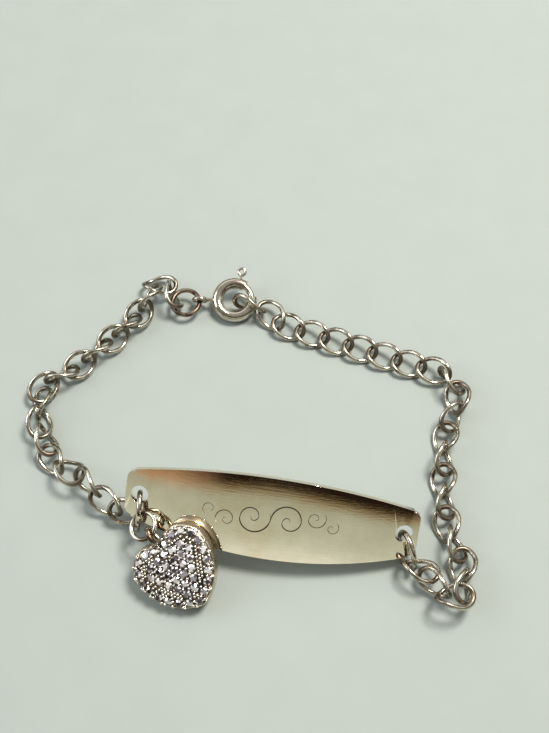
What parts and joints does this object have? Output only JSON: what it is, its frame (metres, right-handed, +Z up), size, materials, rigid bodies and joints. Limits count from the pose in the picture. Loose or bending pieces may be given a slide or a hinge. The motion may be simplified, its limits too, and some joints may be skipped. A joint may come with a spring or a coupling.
{
  "type": "identity bracelet with heart charm",
  "caption": "Arched name plate on a twisted curb-link chain, closed by a spring-ring clasp, with a puffed heart charm set with clear stones on a jump ring.",
  "frame": {"origin": "on the surface that the bracelet lies on, under the middle of its bounding box", "axes": "+Z up from the surface, +X to the right along the plate's side of the loop, +Y from the plate towards the clasp"},
  "size_m": [0.0562, 0.0462, 0.0092],
  "materials": {
    "id_plate": "silver rolled and polished to a soft mirror, with fine scratches",
    "plate_ring_left": "polished silver wire",
    "plate_ring_right": "polished silver wire",
    "chain_left": "polished silver wire, darker between the links",
    "chain_right": "polished silver wire, darker between the links",
    "clasp_jump_ring": "worn silver wire",
    "charm_jump_ring": "polished silver wire",
    "spring_ring_body": "polished silver tube",
    "spring_ring_bolt": "polished silver",
    "heart_body": "polished silver with a darkened setting between the stones",
    "heart_stones": "clear brilliant-cut stones"
  },
  "bodies": {
    "bracelet": {"id_plate": "id_plate", "plate_ring_left": "plate_ring_left", "plate_ring_right": "plate_ring_right", "chain_left": "chain_left", "chain_right": "chain_right", "clasp_jump_ring": "clasp_jump_ring", "charm_jump_ring": "charm_jump_ring", "spring_ring_body": "spring_ring_body", "heart_body": "heart_body", "heart_stones": "heart_stones"},
    "clasp_bolt": {"spring_ring_bolt": "spring_ring_bolt"}
  },
  "joints": [
    {"name": "clasp_bolt_slide", "type": "hinge", "parent": "bracelet", "child": "clasp_bolt", "pos_m": [-0.00203, 0.01878, 0.00167], "axis": [0, -0.309, 0.9511], "range_deg": [0, 53], "stiffness_Nm_per_rad": 0.002}
  ]
}
